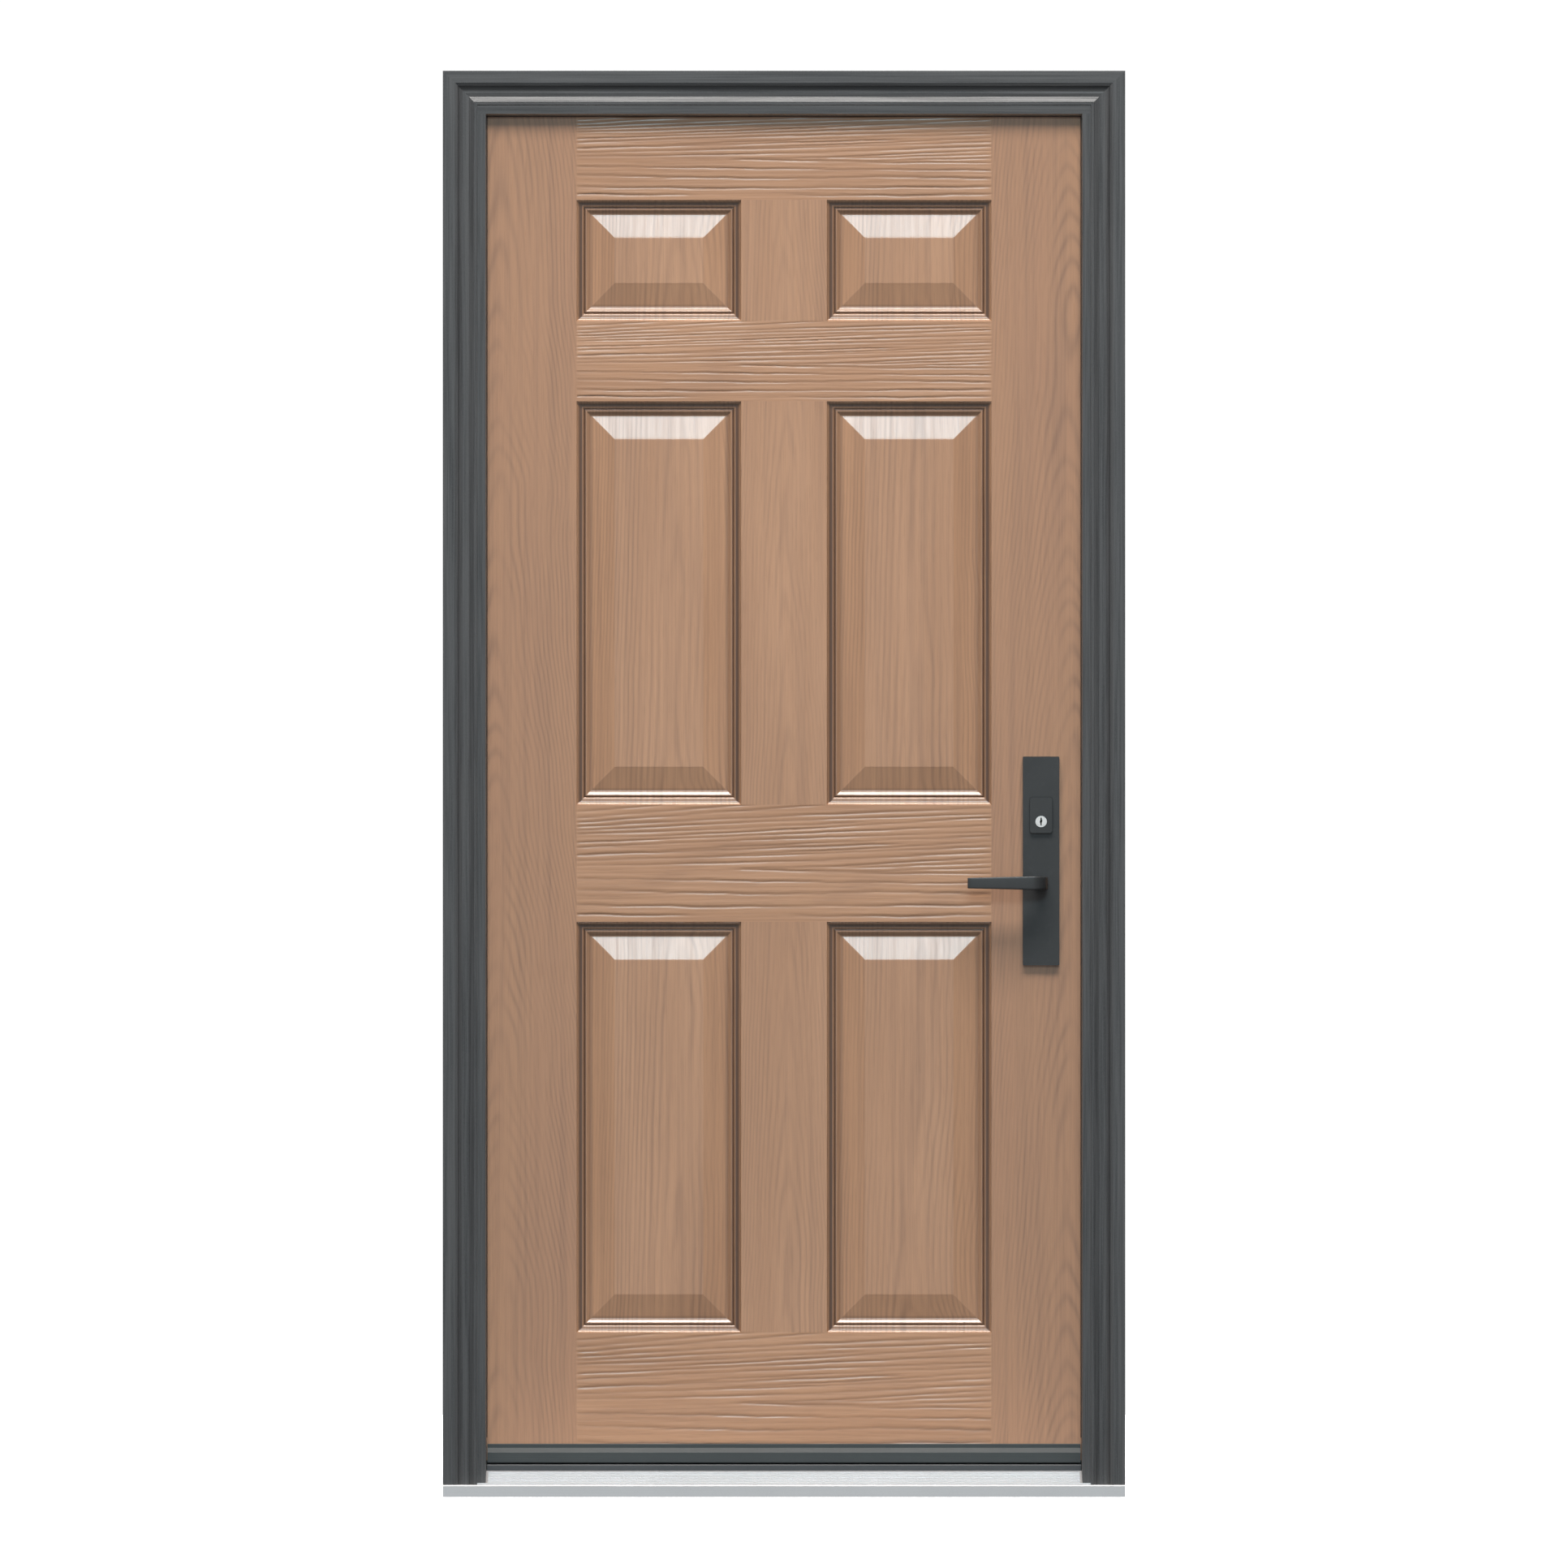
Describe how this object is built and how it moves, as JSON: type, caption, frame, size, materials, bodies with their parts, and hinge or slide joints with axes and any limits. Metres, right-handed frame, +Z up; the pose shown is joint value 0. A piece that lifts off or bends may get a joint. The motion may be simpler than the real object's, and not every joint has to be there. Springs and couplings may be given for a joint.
{
  "type": "panelled front door",
  "caption": "Pre-hung inswing entry door: moulded panel slab in a rabbeted frame with brickmould, aluminium sill, butt hinges, lever handles and a key-wound multipoint lock.",
  "frame": {"origin": "underside of the sill, in the middle of the frame's width and of the jambs' depth", "axes": "+Z up; +Y towards indoors; +X towards the lock side, which is on the right seen from outdoors"},
  "size_m": [1.016, 0.2567, 2.1232],
  "materials": {
    "frame_finish": "charcoal paint over an embossed wood texture, satin",
    "seal": "matt black",
    "sill_metal": "mill finish",
    "sill_composite": "grey composite",
    "threshold": "dark grey",
    "bright_steel": "zinc plated",
    "hinge_finish": "dark oil-rubbed finish, satin",
    "door_skin": "moulded fibreglass stained as light brown timber, satin",
    "foam": "expanded polyurethane",
    "timber": "laminated softwood, bare",
    "sweep_trim": "dark grey, satin",
    "lock_steel": "zinc plated pressed steel",
    "handle_finish": "graphite, satin",
    "cylinder_nickel": "satin nickel"
  },
  "bodies": {
    "frame": {"hinge_jamb": "frame_finish", "strike_jamb": "frame_finish", "head_jamb": "frame_finish", "hinge_brickmould": "frame_finish", "strike_brickmould": "frame_finish", "head_brickmould": "frame_finish", "weatherstrip": "seal", "corner_pads": "seal", "sill_extrusion": "sill_metal", "sill_base": "sill_composite", "threshold_cap": "threshold", "threshold_screws": "bright_steel", "centre_strike": "bright_steel", "bolt_keepers": "bright_steel", "strike_screws": "bright_steel", "top_frame_leaf": "hinge_finish", "middle_frame_leaf": "hinge_finish", "bottom_frame_leaf": "hinge_finish", "frame_hinge_screws": "hinge_finish", "hinge_pins": "hinge_finish", "jamb_screws": "bright_steel"},
    "door": {"exterior_skin": "door_skin", "interior_skin": "door_skin", "foam_core": "foam", "hinge_stile": "timber", "lock_stile": "timber", "top_rail": "timber", "bottom_rail": "sill_composite", "lock_block": "timber", "door_sweep": "seal", "drip_cap": "sweep_trim", "top_door_leaf": "hinge_finish", "middle_door_leaf": "hinge_finish", "bottom_door_leaf": "hinge_finish", "door_hinge_screws": "hinge_finish", "lock_faceplate": "bright_steel", "faceplate_screws": "bright_steel", "lock_case": "lock_steel", "lock_case_cover": "lock_steel", "bolt_cases": "lock_steel", "outside_escutcheon": "handle_finish", "inside_escutcheon": "handle_finish", "escutcheon_bolts": "handle_finish", "cylinder_cover": "handle_finish", "cylinder_body": "cylinder_nickel", "cylinder_screw": "bright_steel"},
    "lever": {"outside_lever": "handle_finish", "inside_lever": "handle_finish", "spindle": "bright_steel", "lever_hub": "lock_steel", "lever_grub_screws": "handle_finish"},
    "key": {"key_plug": "cylinder_nickel"},
    "thumbturn": {"thumbturn": "handle_finish", "bolt_crank": "lock_steel"},
    "snib": {"latch_snib": "bright_steel"},
    "latch": {"latch_bolt": "bright_steel"},
    "deadbolt": {"deadbolt": "bright_steel"},
    "rail": {"drive_rail": "lock_steel"},
    "upper_bolt": {"upper_bolt": "bright_steel"},
    "lower_bolt": {"lower_bolt": "bright_steel"}
  },
  "joints": [
    {"name": "door_swing", "type": "hinge", "parent": "frame", "child": "door", "pos_m": [-0.4556, 0.09, 0.9132], "axis": [0, 0, 1], "range_deg": [0, 170]},
    {"name": "lever_turn", "type": "hinge", "parent": "door", "child": "lever", "pos_m": [0.38415, 0.06125, 0.9132], "axis": [0, 1, 0], "range_deg": [-45, 0], "stiffness_Nm_per_rad": 1.5, "springref_deg": 22.92},
    {"name": "key_turn", "type": "hinge", "parent": "door", "child": "key", "pos_m": [0.38415, 0.03125, 1.0052], "axis": [0, 1, 0], "range_deg": [-90, 90]},
    {"name": "thumbturn_turn", "type": "hinge", "parent": "door", "child": "thumbturn", "pos_m": [0.38415, 0.06125, 1.0052], "axis": [0, -1, 0], "range_deg": [0, 90]},
    {"name": "snib_slide", "type": "slide", "parent": "door", "child": "snib", "axis": [0, 0, -1], "range_m": [0, 0.006]},
    {"name": "latch_slide", "type": "slide", "parent": "door", "child": "latch", "axis": [1, 0, 0], "range_m": [0, 0.012]},
    {"name": "deadbolt_slide", "type": "slide", "parent": "door", "child": "deadbolt", "axis": [1, 0, 0], "range_m": [0, 0.02]},
    {"name": "rail_slide", "type": "slide", "parent": "door", "child": "rail", "axis": [0, 0, 1], "range_m": [0, 0.02]},
    {"name": "upper_bolt_slide", "type": "slide", "parent": "door", "child": "upper_bolt", "axis": [1, 0, 0], "range_m": [0, 0.02]},
    {"name": "lower_bolt_slide", "type": "slide", "parent": "door", "child": "lower_bolt", "axis": [1, 0, 0], "range_m": [0, 0.02]}
  ],
  "couplings": [
    {"joint": "latch_slide", "follows": "snib_slide", "ratio": 2},
    {"joint": "thumbturn_turn", "follows": "rail_slide", "rad_per_m": 78.54},
    {"joint": "deadbolt_slide", "follows": "rail_slide", "ratio": 1},
    {"joint": "upper_bolt_slide", "follows": "rail_slide", "ratio": 1},
    {"joint": "lower_bolt_slide", "follows": "rail_slide", "ratio": 1}
  ]
}
